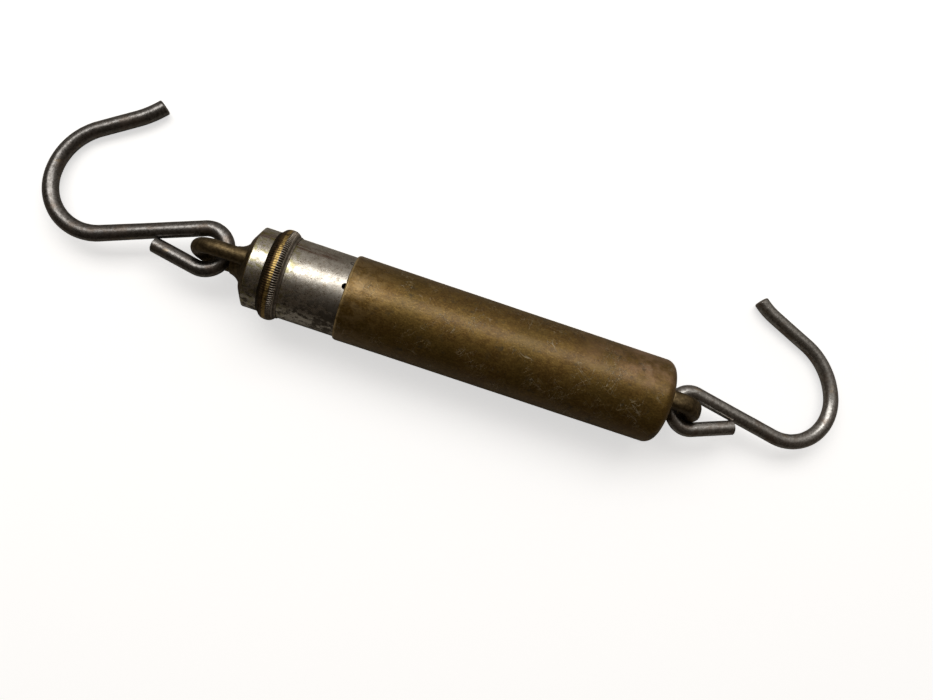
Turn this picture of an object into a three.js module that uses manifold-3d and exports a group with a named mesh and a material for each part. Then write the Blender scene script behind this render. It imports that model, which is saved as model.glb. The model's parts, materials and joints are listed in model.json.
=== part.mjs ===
// Tubular hanging spring scale, lying on its side. Millimetres.
// The tube runs along X with the load hook at +X, Z is up, and both hooks rest on the surface.
import * as THREE from "three";
import { mergeVertices } from "three/addons/utils/BufferGeometryUtils.js";
import Module from "manifold-3d";

const wasm = await Module();
wasm.setup();

// ---------- driving dimensions ----------
const ROUND = 40; // facets round a turned part

// outer tube
const OUTER_R = 12.7;
const OUTER_BORE_R = 12.2;
const MOUTH_X = -38.1;
const END_X = 60.0;
const MOUTH_FRONT_R = 12.28; // the mouth's edge is rounded over from here
const MOUTH_ROUND = 1.1; // how far its rounding runs along the tube
const END_ROUND_R = 3.0;
const END_WALL = 0.7;
const END_HOLE_R = 8.6;

// inner tube and its slot
const INNER_R = 12.0;
const INNER_BORE_R = 11.35;
const INNER_FOOT_X = 50.0;
const SLOT_WIDTH = 1.9;
const SLOT_START_X = MOUTH_X - 1.05;
const SLOT_END_X = 31.0;
const ROLL = THREE.MathUtils.degToRad(-12.6); // the slot and the eyes lean this far round the tube

// cap band and zero ring
const BAND_R = 11.92;
const BAND_BORE_R = 11.3;
const BAND_LEFT_X = -65.6;
const BAND_CHAMFER = 0.2;
const RING_LEFT_X = -61.4;
const RING_RIGHT_X = -55.1;
const RING_CREST_X = -58.15;
const RING_CREST_R = 13.55;
const RING_FOOT_R = 12.35;
const RING_BEAD_HALF = 2.35;
const RING_FACETS = 48;
const BAND_RIGHT_X = RING_LEFT_X - 0.2;
const RING_FLANGE_X = RING_LEFT_X + 1.5; // inner face of the flange that turns on the spigot
const RING_SKIRT_X = RING_RIGHT_X - 2.0; // where the thread ends and the skirt round the tube starts
const THREAD_R = 10.6;
const TRIM = 0.8; // how far the ring can move the inner tube each way
const INNER_TOP_X = RING_SKIRT_X + TRIM + 0.3;
const RUN = 0.15; // running clearance on a radius
const FIT = 0.05; // gap between two pieces fixed together
const LONG = 30; // past every solid, for a cutter

// head spigot and what it carries
const SPIGOT_R = 8.1;
const SPIGOT_END_X = -52.0;
const SPIGOT_SOCKET = 4.0; // depth of the bore that takes the upper spring plug
const RETAINER_X = RING_FLANGE_X + 0.2;
const RETAINER_WIDTH = 0.6;
const RETAINER_R = 8.9;
const RETAINER_BORE_R = 7.3;
const RETAINER_SPLIT = 2.4;
const COLLAR_TOP_X = RING_FLANGE_X + TRIM + 0.1;
const COLLAR_END_X = -47.0;
const COLLAR_BORE_R = 9.1;
const KEY_X = -54.0;
const KEY_R = 1.0;
const KEY_REACH_R = 10.3;
const KEYWAY_WIDTH = 2.3;
const KEYWAY_HALF_LENGTH = 2.4;
const KEYWAY_R = 10.45;

// main spring
const SPRING_WIRE_R = 0.88;
const SPRING_MEAN_R = 7.0;
const SPRING_TURNS = 46;
const SPRING_PITCH = 1.83;
const SPRING_START_X = -50.0;
const SPRING_FACETS = 8; // straight lengths in one turn
const SPRING_INSIDE_R = SPRING_MEAN_R * Math.cos(Math.PI / SPRING_FACETS) - SPRING_WIRE_R;
const SPRING_PLUG_LENGTH = 8.0;
const SPRING_PLUG_CORE_R = SPRING_INSIDE_R - RUN;
const SPRING_PLUG_FLANGE_R = 7.6;
const LOWER_PLUG_HEAD = 4.0;
const PLUG_PIN_R = 0.9;
const PLUG_PIN_INSET = 0.3;
const DRAWBAR_R = 3.0;
const DRAWBAR_HEAD_R = 5.0;
const DRAWBAR_HEAD = 1.6;
const DRAWBAR_TANG_R = 2.5;
const DRAWBAR_TANG = 3.0; // how far it is riveted into the lower eye plug
const SMALL_FACETS = 24;
const PIN_FACETS = 12;

// lower end
const LOWER_DISC_X = END_X - 4.2;
const LOWER_BOSS_X = END_X + 0.3;
const BOSS_CHAMFER = 1.1;
const KEY_INSET = 0.6; // from the mouth to the guide key
const KEY_LENGTH = 4.4;
const FOOT_FLANGE = 1.4;
const FOOT_DEPTH = 5.0;
const FOOT_BORE_R = 9.6;

// eyes: an arch of round bar, x is the centre of its round end
const UPPER_EYE = { x: -75.5, radius: 7.0, bar: 2.35, away: -1, leg: 8.2 };
const LOWER_EYE = { x: 62.3, radius: 6.9, bar: 2.3, away: 1, leg: 4.5 };
const EYE_TRIM_X = BAND_LEFT_X - 0.5; // the arch's legs end here, inside the bell
const NECK_R = 4.2;
const NECK_X = -72.3;
const NECK_EDGE = 0.6;
const FLARE_R = 4.6; // the neck turns outward on this radius, then a cone runs to the band
const BELL_RIM = [0.35, 0.65]; // the cone ends this far short of the band's edge, along and across
const BELL_STEP = 0.15; // the band stands this far proud of the bell

// hooks: bent wire, each path runs tail, bight, shank, bowl and crown, arm, tip
const AXIS_HEIGHT = RING_CREST_R;
const UPPER_HOOK = {
  wire: 2.35,
  pivot: [-81.15, 0.5],
  lift: 11.1, // height of the bight's centre above the surface
  bight: 6.15,
  tailHeading: -10.5,
  shankHeading: 200.7,
  bends: [
    { line: 31.2 },
    { radius: 15.1, turn: -106.6 },
    { radius: 18.7, turn: -60.3 },
    { line: 11.2 },
    { radius: 31, turn: 17.4 },
  ],
  tail: 14.2,
};
const LOWER_HOOK = {
  wire: 2.2,
  pivot: [69.1, 0.3],
  lift: 11.2,
  bight: 5.6,
  tailHeading: 200.9,
  shankHeading: -9.7,
  bends: [
    { line: 27.1 },
    { radius: 13.9, turn: 117 },
    { radius: 20.7, turn: 50.3 },
    { line: 13.2 },
    { radius: 21.4, turn: -17.6 },
  ],
  tail: 13.4,
};

// ---------- materials ----------
function metal(color, roughness) {
  return new THREE.MeshStandardMaterial({ color, roughness, metalness: 1 });
}

const AGED_BRASS = 0x7a6038;
const CAST_BRASS = 0x6b5530;
const BARE_BRASS = 0xb0894a;
const NICKEL = 0xa7a39a;
const DARK_STEEL = 0x4a4743;
const SPRING_STEEL = 0x6e7075;

// ---------- solids ----------
function solidOf(geometry) {
  const bare = geometry.index ? geometry.toNonIndexed() : geometry.clone();
  bare.deleteAttribute("normal");
  bare.deleteAttribute("uv");
  const welded = mergeVertices(bare, 1e-4);
  const vertProperties = new Float32Array(welded.attributes.position.array);
  const triVerts = new Uint32Array(welded.index.array);
  return new wasm.Manifold(new wasm.Mesh({ numProp: 3, vertProperties, triVerts }));
}

function geometryOf(solid) {
  const data = solid.getMesh();
  const geometry = new THREE.BufferGeometry();
  geometry.setAttribute("position", new THREE.BufferAttribute(data.vertProperties, 3));
  geometry.setIndex(new THREE.BufferAttribute(data.triVerts, 1));
  return geometry;
}

// A solid turned about X. The outline is [x, radius] points and closes on itself.
function turned(outline, segments = ROUND) {
  const points = outline.map(([x, r]) => new THREE.Vector2(r, x));
  if (points[0].x > 0 || points.at(-1).x > 0) points.push(points[0].clone());
  const lathe = new THREE.LatheGeometry(points, segments);
  lathe.rotateZ(-Math.PI / 2);
  const solid = solidOf(lathe);
  if (solid.volume() > 0) return solid;
  const reversed = new THREE.LatheGeometry(points.reverse(), segments);
  reversed.rotateZ(-Math.PI / 2);
  return solidOf(reversed);
}

function block(x0, x1, y0, y1, z0, z1) {
  const box = new THREE.BoxGeometry(x1 - x0, y1 - y0, z1 - z0);
  box.translate((x0 + x1) / 2, (y0 + y1) / 2, (z0 + z1) / 2);
  return solidOf(box);
}

// A round rod standing along local Z at x, from z0 to z1.
function upright(x, radius, z0, z1, sides = 16) {
  const rod = new THREE.CylinderGeometry(radius, radius, z1 - z0, sides);
  rod.rotateX(Math.PI / 2);
  rod.translate(x, 0, (z0 + z1) / 2);
  return solidOf(rod);
}

// Points [x, r] on part of an ellipse about a centre; size holds its half-axes along x and r.
function roundCorner(cx, cr, [alongX, alongR], from, to, steps) {
  const points = [];
  for (let i = 0; i <= steps; i++) {
    const angle = THREE.MathUtils.degToRad(from + ((to - from) * i) / steps);
    points.push([cx + alongX * Math.cos(angle), cr + alongR * Math.sin(angle)]);
  }
  return points;
}

function sweep(curve, radius, sides, steps) {
  const section = new THREE.Shape();
  for (let i = 0; i < sides; i++) {
    const angle = (2 * Math.PI * i) / sides;
    const x = radius * Math.cos(angle);
    const y = radius * Math.sin(angle);
    if (i === 0) section.moveTo(x, y);
    else section.lineTo(x, y);
  }
  const options = { steps, extrudePath: curve, bevelEnabled: false };
  return new THREE.ExtrudeGeometry(section, options);
}

// ---------- hooks ----------
// A flat path of straight lines and arcs, each starting where the last one ended.
class BentWire extends THREE.Curve {
  constructor(start, heading, bends) {
    super();
    this.pieces = [];
    this.total = 0;
    let x = start.x;
    let y = start.y;
    let h = THREE.MathUtils.degToRad(heading);
    for (const bend of bends) {
      const turn = THREE.MathUtils.degToRad(bend.turn ?? 0);
      const length = bend.line ?? Math.abs(turn) * bend.radius;
      const piece = { x, y, h, turn, length, from: this.total };
      this.pieces.push(piece);
      this.total += length;
      const end = this.along(piece, length);
      x = end.x;
      y = end.y;
      h += turn;
    }
  }
  along(piece, distance) {
    const { x, y, h, turn, length } = piece;
    if (turn === 0) {
      return new THREE.Vector3(x + distance * Math.cos(h), y + distance * Math.sin(h), 0);
    }
    const radius = length / turn; // signed: positive bends to the left
    const swept = h + (turn * distance) / length;
    return new THREE.Vector3(
      x + radius * (Math.sin(swept) - Math.sin(h)),
      y - radius * (Math.cos(swept) - Math.cos(h)),
      0,
    );
  }
  getPoint(t) {
    const distance = t * this.total;
    const piece = this.pieces.findLast((p) => p.from <= distance + 1e-9) ?? this.pieces[0];
    return this.along(piece, Math.min(distance - piece.from, piece.length));
  }
}

// The hook's wire with its bight centred on the origin.
function hookWire(hook) {
  const turn = hook.shankHeading - hook.tailHeading;
  const side = Math.sign(turn);
  const h = THREE.MathUtils.degToRad(hook.tailHeading);
  const start = new THREE.Vector2(
    side * hook.bight * Math.sin(h) - hook.tail * Math.cos(h),
    -side * hook.bight * Math.cos(h) - hook.tail * Math.sin(h),
  );
  const bends = [{ line: hook.tail }, { radius: hook.bight, turn }, ...hook.bends];
  return new BentWire(start, hook.tailHeading, bends);
}

// How a flat hook lies: its bight is held up at the pivot and its crown and tip touch the surface.
function restingPose(hook, wire) {
  const samples = 400;
  const points = wire.getSpacedPoints(samples);
  const tip = points[samples];
  const toPivot = tip.clone().negate();
  const nearTip = samples / 20;
  let widest = { angle: 0, point: null };
  for (const point of points.slice(0, samples - nearTip)) {
    const reach = point.clone().sub(tip);
    const cross = toPivot.x * reach.y - toPivot.y * reach.x;
    const angle = Math.atan2(cross, toPivot.dot(reach));
    if (Math.abs(angle) > Math.abs(widest.angle)) widest = { angle, point };
  }
  const along = tip.clone().sub(widest.point).normalize();
  const side = new THREE.Vector3(-along.y, along.x, 0);
  const distance = Math.abs(tip.dot(side));
  const rise = hook.lift - hook.wire;
  const tilt = Math.asin(rise / distance) * -Math.sign(tip.dot(side));
  return new THREE.Quaternion().setFromAxisAngle(along, tilt);
}

function hookMesh(name, hook) {
  const wire = hookWire(hook);
  const mesh = new THREE.Mesh(sweep(wire, hook.wire, 10, 66), metal(DARK_STEEL, 0.4));
  mesh.name = name;
  mesh.quaternion.copy(restingPose(hook, wire));
  mesh.position.set(hook.pivot[0], hook.pivot[1], hook.lift - AXIS_HEIGHT);
  return mesh;
}

// ---------- eyes ----------
// A round bar bent to an arch that stands in the XZ plane, both legs running back to the plug.
function eyeArch(eye) {
  const path = new BentWire(
    new THREE.Vector2(-eye.leg, -eye.radius),
    0,
    [{ line: eye.leg }, { radius: eye.radius, turn: 180 }, { line: eye.leg }],
  );
  const arch = sweep(path, eye.bar, 12, 28);
  arch.rotateX(Math.PI / 2);
  if (eye.away < 0) arch.rotateZ(Math.PI);
  arch.translate(eye.x, 0, 0);
  return solidOf(arch);
}

// ---------- head ----------
function upperEyePlug() {
  const [rimX, rimR] = BELL_RIM;
  const outline = [
    [NECK_X, 0],
    [NECK_X, NECK_R - NECK_EDGE],
    ...roundCorner(NECK_X, NECK_R + FLARE_R, [FLARE_R, FLARE_R], -84, -7, 6),
    [BAND_LEFT_X - rimX, BAND_R - rimR],
    [BAND_LEFT_X - FIT, BAND_R - BELL_STEP],
    [BAND_LEFT_X - FIT, BAND_BORE_R - FIT],
    [BAND_RIGHT_X, BAND_BORE_R - FIT],
    [BAND_RIGHT_X, SPIGOT_R],
    [RETAINER_X - FIT, SPIGOT_R],
    [RETAINER_X - FIT, RETAINER_BORE_R - FIT],
    [RETAINER_X + RETAINER_WIDTH + FIT, RETAINER_BORE_R - FIT],
    [RETAINER_X + RETAINER_WIDTH + FIT, SPIGOT_R],
    [SPIGOT_END_X, SPIGOT_R],
    [SPIGOT_END_X, SPRING_PLUG_CORE_R],
    [SPIGOT_END_X - SPIGOT_SOCKET, SPRING_PLUG_CORE_R],
    [SPIGOT_END_X - SPIGOT_SOCKET, 0],
  ];
  const eye = eyeArch(UPPER_EYE).subtract(block(EYE_TRIM_X, 0, -LONG, LONG, -LONG, LONG));
  const keyHole = upright(KEY_X, KEY_R + FIT, -LONG, 0);
  return turned(outline).add(eye).subtract(keyHole);
}

function capBand() {
  return turned([
    [BAND_LEFT_X, BAND_BORE_R],
    [BAND_LEFT_X, BAND_R - BAND_CHAMFER],
    [BAND_LEFT_X + BAND_CHAMFER, BAND_R],
    [BAND_RIGHT_X, BAND_R],
    [BAND_RIGHT_X, BAND_BORE_R],
  ]);
}

function zeroRing() {
  const crest = RING_CREST_R - RING_FOOT_R;
  const bead = [];
  for (let i = 0; i <= 8; i++) {
    const across = i / 4 - 1;
    const height = Math.cos((Math.PI / 2) * across);
    bead.push([RING_CREST_X + RING_BEAD_HALF * across, RING_FOOT_R + crest * height]);
  }
  return turned(
    [
      [RING_LEFT_X, SPIGOT_R + RUN],
      [RING_LEFT_X, RING_FOOT_R - 0.4],
      ...bead,
      [RING_RIGHT_X, RING_FOOT_R],
      [RING_RIGHT_X, INNER_R + RUN],
      [RING_SKIRT_X, INNER_R + RUN],
      [RING_SKIRT_X, THREAD_R + RUN / 2],
      [RING_FLANGE_X, THREAD_R + RUN / 2],
      [RING_FLANGE_X, SPIGOT_R + RUN],
    ],
    RING_FACETS,
  );
}

function ringRetainer() {
  const ring = turned([
    [RETAINER_X, RETAINER_BORE_R],
    [RETAINER_X, RETAINER_R],
    [RETAINER_X + RETAINER_WIDTH, RETAINER_R],
    [RETAINER_X + RETAINER_WIDTH, RETAINER_BORE_R],
  ]);
  const half = RETAINER_SPLIT / 2;
  const split = block(RETAINER_X - LONG, RETAINER_X + LONG, -half, half, 0, LONG);
  return ring.subtract(split);
}

// A pin in the spigot whose end rides in the collar's keyway, so the inner tube can't turn.
function trimKey() {
  return upright(KEY_X, KEY_R, -KEY_REACH_R, -(SPRING_PLUG_CORE_R + 0.2));
}

function upperSpringPlug() {
  const coreEnd = SPRING_START_X + SPRING_PLUG_LENGTH;
  return turned([
    [SPIGOT_END_X - SPIGOT_SOCKET + FIT, 0],
    [SPIGOT_END_X - SPIGOT_SOCKET + FIT, SPRING_PLUG_CORE_R - FIT],
    [SPIGOT_END_X + FIT, SPRING_PLUG_CORE_R - FIT],
    [SPIGOT_END_X + FIT, SPRING_PLUG_FLANGE_R],
    [SPRING_START_X - SPRING_WIRE_R - FIT, SPRING_PLUG_FLANGE_R],
    [SPRING_START_X - SPRING_WIRE_R - FIT, SPRING_PLUG_CORE_R],
    [coreEnd, SPRING_PLUG_CORE_R],
    [coreEnd, 0],
  ]);
}

// ---------- inner tube ----------
function innerTube() {
  const tube = turned([
    [INNER_TOP_X, INNER_BORE_R],
    [INNER_TOP_X, INNER_R],
    [INNER_FOOT_X, INNER_R],
    [INNER_FOOT_X, INNER_BORE_R],
  ]);
  const halfSlot = SLOT_WIDTH / 2;
  const slot = block(SLOT_START_X + halfSlot, SLOT_END_X, -halfSlot, halfSlot, 0, LONG);
  return tube.subtract(slot).subtract(upright(SLOT_START_X + halfSlot, halfSlot, 0, LONG));
}

function threadedCollar() {
  const collar = turned([
    [COLLAR_TOP_X, COLLAR_BORE_R],
    [COLLAR_TOP_X, THREAD_R - RUN / 2],
    [INNER_TOP_X, THREAD_R - RUN / 2],
    [INNER_TOP_X, INNER_BORE_R - FIT],
    [COLLAR_END_X, INNER_BORE_R - FIT],
    [COLLAR_END_X, COLLAR_BORE_R],
  ]);
  const half = KEYWAY_WIDTH / 2;
  const start = KEY_X - KEYWAY_HALF_LENGTH;
  const end = KEY_X + KEYWAY_HALF_LENGTH;
  return collar.subtract(block(start, end, -half, half, -KEYWAY_R, 0));
}

function innerTubeFoot() {
  const end = INNER_FOOT_X + FIT;
  return turned([
    [INNER_FOOT_X - FOOT_DEPTH, FOOT_BORE_R],
    [INNER_FOOT_X - FOOT_DEPTH, INNER_BORE_R - FIT],
    [end, INNER_BORE_R - FIT],
    [end, OUTER_BORE_R - RUN],
    [end + FOOT_FLANGE, OUTER_BORE_R - RUN],
    [end + FOOT_FLANGE, FOOT_BORE_R],
  ]);
}

// ---------- spring and drawbar ----------
class Helix extends THREE.Curve {
  getPoint(t) {
    const angle = 2 * Math.PI * SPRING_TURNS * t;
    return new THREE.Vector3(
      SPRING_START_X + SPRING_PITCH * SPRING_TURNS * t,
      SPRING_MEAN_R * Math.cos(angle),
      SPRING_MEAN_R * Math.sin(angle),
    );
  }
}

function mainSpring() {
  return solidOf(sweep(new Helix(), SPRING_WIRE_R, 6, SPRING_TURNS * SPRING_FACETS));
}

const SPRING_LAST_X = SPRING_START_X + SPRING_PITCH * SPRING_TURNS;
const LOWER_PLUG_X = SPRING_LAST_X + SPRING_WIRE_R + FIT;
const PLUG_PIN_X = LOWER_PLUG_X + LOWER_PLUG_HEAD / 2;
const DRAWBAR_START_X = LOWER_PLUG_X - 3;

function lowerSpringPlug() {
  const plug = turned([
    [SPRING_LAST_X - SPRING_PLUG_LENGTH, 0],
    [SPRING_LAST_X - SPRING_PLUG_LENGTH, SPRING_PLUG_CORE_R],
    [LOWER_PLUG_X, SPRING_PLUG_CORE_R],
    [LOWER_PLUG_X, SPRING_PLUG_FLANGE_R],
    [LOWER_PLUG_X + LOWER_PLUG_HEAD, SPRING_PLUG_FLANGE_R],
    [LOWER_PLUG_X + LOWER_PLUG_HEAD, DRAWBAR_R + FIT],
    [DRAWBAR_START_X - FIT, DRAWBAR_R + FIT],
    [DRAWBAR_START_X - FIT, 0],
  ]);
  return plug.subtract(upright(PLUG_PIN_X, PLUG_PIN_R + FIT, -LONG, LONG, PIN_FACETS));
}

function drawbar() {
  const headX = LOWER_DISC_X - DRAWBAR_HEAD;
  const bar = turned(
    [
      [DRAWBAR_START_X, 0],
      [DRAWBAR_START_X, DRAWBAR_R],
      [headX, DRAWBAR_R],
      [headX, DRAWBAR_HEAD_R],
      [LOWER_DISC_X - FIT, DRAWBAR_HEAD_R],
      [LOWER_DISC_X - FIT, DRAWBAR_TANG_R],
      [LOWER_DISC_X + DRAWBAR_TANG, DRAWBAR_TANG_R],
      [LOWER_DISC_X + DRAWBAR_TANG, 0],
    ],
    SMALL_FACETS,
  );
  return bar.subtract(upright(PLUG_PIN_X, PLUG_PIN_R + FIT, -LONG, LONG, PIN_FACETS));
}

function lowerPlugPin() {
  const reach = SPRING_PLUG_FLANGE_R - PLUG_PIN_INSET;
  return upright(PLUG_PIN_X, PLUG_PIN_R, -reach, reach, PIN_FACETS);
}

// ---------- outer tube and lower end ----------
function outerTube() {
  const bend = END_ROUND_R;
  const inner = bend - END_WALL;
  const outside = roundCorner(END_X - bend, OUTER_R - bend, [bend, bend], 90, 0, 5);
  const inside = roundCorner(END_X - bend, OUTER_R - bend, [inner, inner], 0, 90, 5);
  const edge = [MOUTH_ROUND, OUTER_R - MOUTH_FRONT_R];
  const mouth = roundCorner(MOUTH_X + MOUTH_ROUND, MOUTH_FRONT_R, edge, 180, 90, 4);
  return turned([
    [MOUTH_X, OUTER_BORE_R],
    ...mouth,
    ...outside,
    [END_X, END_HOLE_R],
    [END_X - END_WALL, END_HOLE_R],
    ...inside.slice(0, -1),
    [END_X - bend, OUTER_BORE_R],
  ]);
}

// A short block fixed inside the outer tube's mouth; it rides in the inner tube's slot.
function guideKey() {
  const half = SLOT_WIDTH / 2 - RUN;
  const start = MOUTH_X + KEY_INSET;
  const key = block(start, start + KEY_LENGTH, -half, half, INNER_BORE_R + FIT, OUTER_R);
  const bore = turned([
    [MOUTH_X - 2, 0],
    [MOUTH_X - 2, OUTER_BORE_R - FIT],
    [MOUTH_X + 8, OUTER_BORE_R - FIT],
    [MOUTH_X + 8, 0],
  ]);
  return key.intersect(bore);
}

function lowerEyePlug() {
  const bossR = END_HOLE_R - FIT;
  const disc = turned([
    [LOWER_DISC_X, DRAWBAR_R - 0.5 + FIT],
    [LOWER_DISC_X, OUTER_BORE_R - FIT],
    [END_X - END_ROUND_R - 0.1, OUTER_BORE_R - FIT],
    [END_X - END_WALL - FIT, OUTER_R - END_ROUND_R - 0.2],
    [END_X - END_WALL - FIT, bossR],
    [LOWER_BOSS_X, bossR],
    [LOWER_BOSS_X + 0.3, bossR - 1.1],
    [LOWER_BOSS_X + 0.3, 0],
    [LOWER_DISC_X + 3 + FIT, 0],
    [LOWER_DISC_X + 3 + FIT, DRAWBAR_R - 0.5 + FIT],
  ]);
  const eye = eyeArch(LOWER_EYE).subtract(block(0, END_X + FIT, -20, 20, -20, 20));
  return disc.add(eye);
}

// ---------- assembly ----------
const pieces = {
  upper_eye_plug: [upperEyePlug, CAST_BRASS, 0.55],
  cap_band: [capBand, NICKEL, 0.35],
  zero_ring: [zeroRing, BARE_BRASS, 0.4],
  ring_retainer: [ringRetainer, SPRING_STEEL, 0.4],
  trim_key: [trimKey, SPRING_STEEL, 0.4],
  upper_spring_plug: [upperSpringPlug, BARE_BRASS, 0.5],
  inner_tube: [innerTube, NICKEL, 0.35],
  threaded_collar: [threadedCollar, BARE_BRASS, 0.5],
  inner_tube_foot: [innerTubeFoot, BARE_BRASS, 0.5],
  main_spring: [mainSpring, SPRING_STEEL, 0.35],
  lower_spring_plug: [lowerSpringPlug, BARE_BRASS, 0.5],
  lower_plug_pin: [lowerPlugPin, SPRING_STEEL, 0.4],
  drawbar: [drawbar, SPRING_STEEL, 0.4],
  outer_tube: [outerTube, AGED_BRASS, 0.45],
  guide_key: [guideKey, BARE_BRASS, 0.5],
  lower_eye_plug: [lowerEyePlug, CAST_BRASS, 0.55],
};

const root = new THREE.Group();
for (const [name, [build, color, roughness]] of Object.entries(pieces)) {
  const mesh = new THREE.Mesh(geometryOf(build()), metal(color, roughness));
  mesh.name = name;
  mesh.rotation.x = ROLL;
  root.add(mesh);
}
root.add(hookMesh("upper_hook", UPPER_HOOK));
root.add(hookMesh("lower_hook", LOWER_HOOK));

// the origin is the middle of the box's underside
root.updateMatrixWorld(true);
const extent = new THREE.Box3().setFromObject(root, true);
const middle = extent.getCenter(new THREE.Vector3());
root.position.set(-middle.x, -middle.y, -extent.min.z);

export default root;
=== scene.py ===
# Looks, light and camera for the tubular hanging spring scale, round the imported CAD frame.
# Metres, in the frame's own axes: the tube runs along X, Z is up, the scale lies on z = 0.
import json
import math

import bmesh
import bpy
from mathutils import Matrix, Vector, noise


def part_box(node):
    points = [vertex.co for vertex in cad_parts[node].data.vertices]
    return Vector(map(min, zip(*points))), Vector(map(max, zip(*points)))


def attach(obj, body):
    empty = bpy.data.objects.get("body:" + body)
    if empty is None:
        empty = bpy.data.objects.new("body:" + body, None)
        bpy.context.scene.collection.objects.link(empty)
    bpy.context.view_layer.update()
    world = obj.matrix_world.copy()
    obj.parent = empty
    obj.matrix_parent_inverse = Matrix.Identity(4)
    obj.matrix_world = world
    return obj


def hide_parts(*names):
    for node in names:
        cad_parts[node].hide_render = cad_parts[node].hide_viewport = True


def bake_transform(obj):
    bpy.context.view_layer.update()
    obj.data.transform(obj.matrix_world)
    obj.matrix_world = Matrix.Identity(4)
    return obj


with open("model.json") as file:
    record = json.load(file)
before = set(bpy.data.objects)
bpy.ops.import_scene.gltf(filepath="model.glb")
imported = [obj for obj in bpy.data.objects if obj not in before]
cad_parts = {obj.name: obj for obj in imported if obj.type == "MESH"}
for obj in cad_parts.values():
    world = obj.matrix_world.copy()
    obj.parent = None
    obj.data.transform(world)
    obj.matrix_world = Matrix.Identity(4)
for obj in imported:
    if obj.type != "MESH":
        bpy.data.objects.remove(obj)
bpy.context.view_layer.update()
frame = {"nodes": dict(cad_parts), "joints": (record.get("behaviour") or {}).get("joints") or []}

MM = 0.001


# ---------- places and sizes from the frame ----------
def corners(node):
    low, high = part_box(node)
    return Vector(low), Vector(high)


ROLL = math.radians(12.6)  # the slot and the upper eye lean this far round the tube, towards +Y
LOWER_EYE_ROLL = math.radians(15.5)  # the lower eye leans a little more
CORNER_OFF_TOP = math.radians(3.6)  # how far the topmost facet corner stands from the top


def turned_radius(node):
    low, high = corners(node)
    return (high.z - low.z) / 2 / math.cos(CORNER_OFF_TOP)


tube_low, tube_high = corners("outer_tube")
AXIS_Y = (tube_low.y + tube_high.y) / 2
AXIS_Z = (tube_low.z + tube_high.z) / 2
MOUTH_X = tube_low.x
END_X = tube_high.x
OUTER_R = turned_radius("outer_tube")
OUTER_WALL = 0.5 * MM
OUTER_BORE_R = OUTER_R - OUTER_WALL
INNER_R = turned_radius("inner_tube")
INNER_WALL = 0.65 * MM
INNER_BORE_R = INNER_R - INNER_WALL
INNER_TOP_X = corners("inner_tube")[0].x
INNER_END_X = corners("inner_tube")[1].x
BAND_R = turned_radius("cap_band")
BAND_LEFT_X = corners("cap_band")[0].x
BAND_RIGHT_X = corners("cap_band")[1].x
RING_LEFT_X = corners("zero_ring")[0].x
RING_RIGHT_X = corners("zero_ring")[1].x
RING_R = corners("zero_ring")[1].z / 2
SPIGOT_END_X = corners("upper_eye_plug")[1].x
UPPER_EYE_CROWN_X = corners("upper_eye_plug")[0].x
LOWER_EYE_CROWN_X = corners("lower_eye_plug")[1].x
LOWER_DISC_X = corners("lower_eye_plug")[0].x
TRAVEL = next(j for j in frame["joints"] if j["name"] == "load_slide")["range_m"][1]

BEAD_X = RING_LEFT_X + 3.25 * MM  # the crest of the ring's bead
BEAD_HALF = 2.35 * MM
BAND_WALL = 0.62 * MM
SPIGOT_R = 8.1 * MM
THREAD_R = 10.7 * MM
END_HOLE_R = 8.6 * MM
END_ROUND_R = 3.0 * MM
END_WALL = 0.7 * MM
EYE_BAR_R = 2.33 * MM
UPPER_EYE_R = 7.0 * MM  # to the middle of the bar
LOWER_EYE_R = 6.9 * MM
LOWER_EYE_HALF_ACROSS = 2.6 * MM
NECK_R = 4.2 * MM
SLOT_WIDTH = 1.9 * MM
SLOT_START_X = MOUTH_X - 1.05 * MM
SLOT_END_X = MOUTH_X + 69.1 * MM
MOUTH_ROUND = 1.1 * MM  # how far the mouth's rounded edge runs along the tube


def joint(name):
    return next(j for j in frame["joints"] if j["name"] == name)


# ---------- mesh helpers ----------
def shade(bm, crease):
    """Smooth faces, with edges sharper than crease degrees kept sharp."""
    limit = math.radians(crease)
    for face in bm.faces:
        face.smooth = True
    for edge in bm.edges:
        edge.smooth = len(edge.link_faces) != 2 or edge.calc_face_angle(0) <= limit


def finish_mesh(name, bm, crease=38):
    """An object in the scene from bm, shaded smooth up to the crease angle."""
    bmesh.ops.recalc_face_normals(bm, faces=bm.faces)
    shade(bm, crease)
    mesh = bpy.data.meshes.new(name)
    bm.to_mesh(mesh)
    bm.free()
    obj = bpy.data.objects.new(name, mesh)
    bpy.context.scene.collection.objects.link(obj)
    return obj


def apply_modifiers(obj, crease):
    graph = bpy.context.evaluated_depsgraph_get()
    mesh = bpy.data.meshes.new_from_object(obj.evaluated_get(graph))
    obj.modifiers.clear()
    old = obj.data
    obj.data = mesh
    bpy.data.meshes.remove(old)
    bm = bmesh.new()
    bm.from_mesh(mesh)
    shade(bm, crease)
    bm.to_mesh(mesh)
    bm.free()


def rounded(outline, steps=4):
    """(x, r) points from (x, r, fillet) corners of a closed outline."""
    result = []
    count = len(outline)
    for i, (x, r, fillet) in enumerate(outline):
        here = Vector((x, r))
        if fillet == 0:
            result.append((x, r))
            continue
        back = (Vector(outline[i - 1][:2]) - here).normalized()
        ahead = (Vector(outline[(i + 1) % count][:2]) - here).normalized()
        half = back.angle(ahead) / 2
        centre = here + (back + ahead).normalized() * (fillet / math.sin(half))
        start = here + back * (fillet / math.tan(half)) - centre
        end = here + ahead * (fillet / math.tan(half)) - centre
        turn = start.angle_signed(end)
        for k in range(steps + 1):
            arm = start.copy()
            arm.rotate(Matrix.Rotation(-turn * k / steps, 2))
            result.append(tuple(centre + arm))
    return result


def along(start, end, steps):
    """Evenly spaced stations from start to end, both included."""
    return [start + (end - start) * i / steps for i in range(steps + 1)]


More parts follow.
